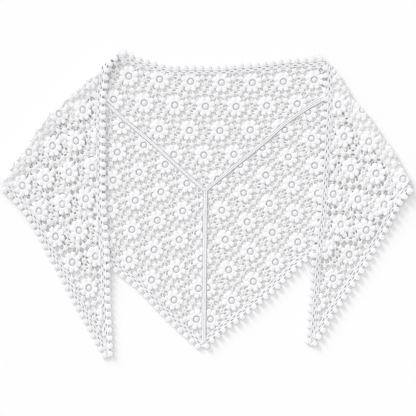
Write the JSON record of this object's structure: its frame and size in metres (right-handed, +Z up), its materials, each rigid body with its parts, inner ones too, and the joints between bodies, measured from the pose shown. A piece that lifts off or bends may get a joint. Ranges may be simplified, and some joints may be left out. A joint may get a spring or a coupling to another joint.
{
  "type": "lace shawl",
  "caption": "Triangular white lace shawl with a picot edge, laid flat with its two ends folded forward over the back.",
  "frame": {"origin": "centre of the laid shawl's bounding box on the surface it rests on", "axes": "+Z up from the surface, +X along the neck edge to the right, +Y from the tip towards the neck edge"},
  "size_m": [0.701, 0.5162, 0.0101],
  "materials": {
    "lace": "white cotton guipure lace, matte with a soft satin-stitch sheen",
    "cord": "white twisted cotton cord and tape, matte"
  },
  "bodies": {
    "root": {"yoke": "lace", "back_left": "lace", "back_right": "lace", "front_left": "lace", "front_right": "lace", "fold_left": "lace", "fold_right": "lace", "seam_v_left": "cord", "seam_v_right": "cord", "seam_centre": "cord", "edging_neck": "cord", "edging_inner_left": "cord", "edging_tail_left": "cord", "edging_inner_right": "cord", "edging_tail_right": "cord", "edging_back_left": "cord", "edging_back_right": "cord"}
  },
  "joints": []
}
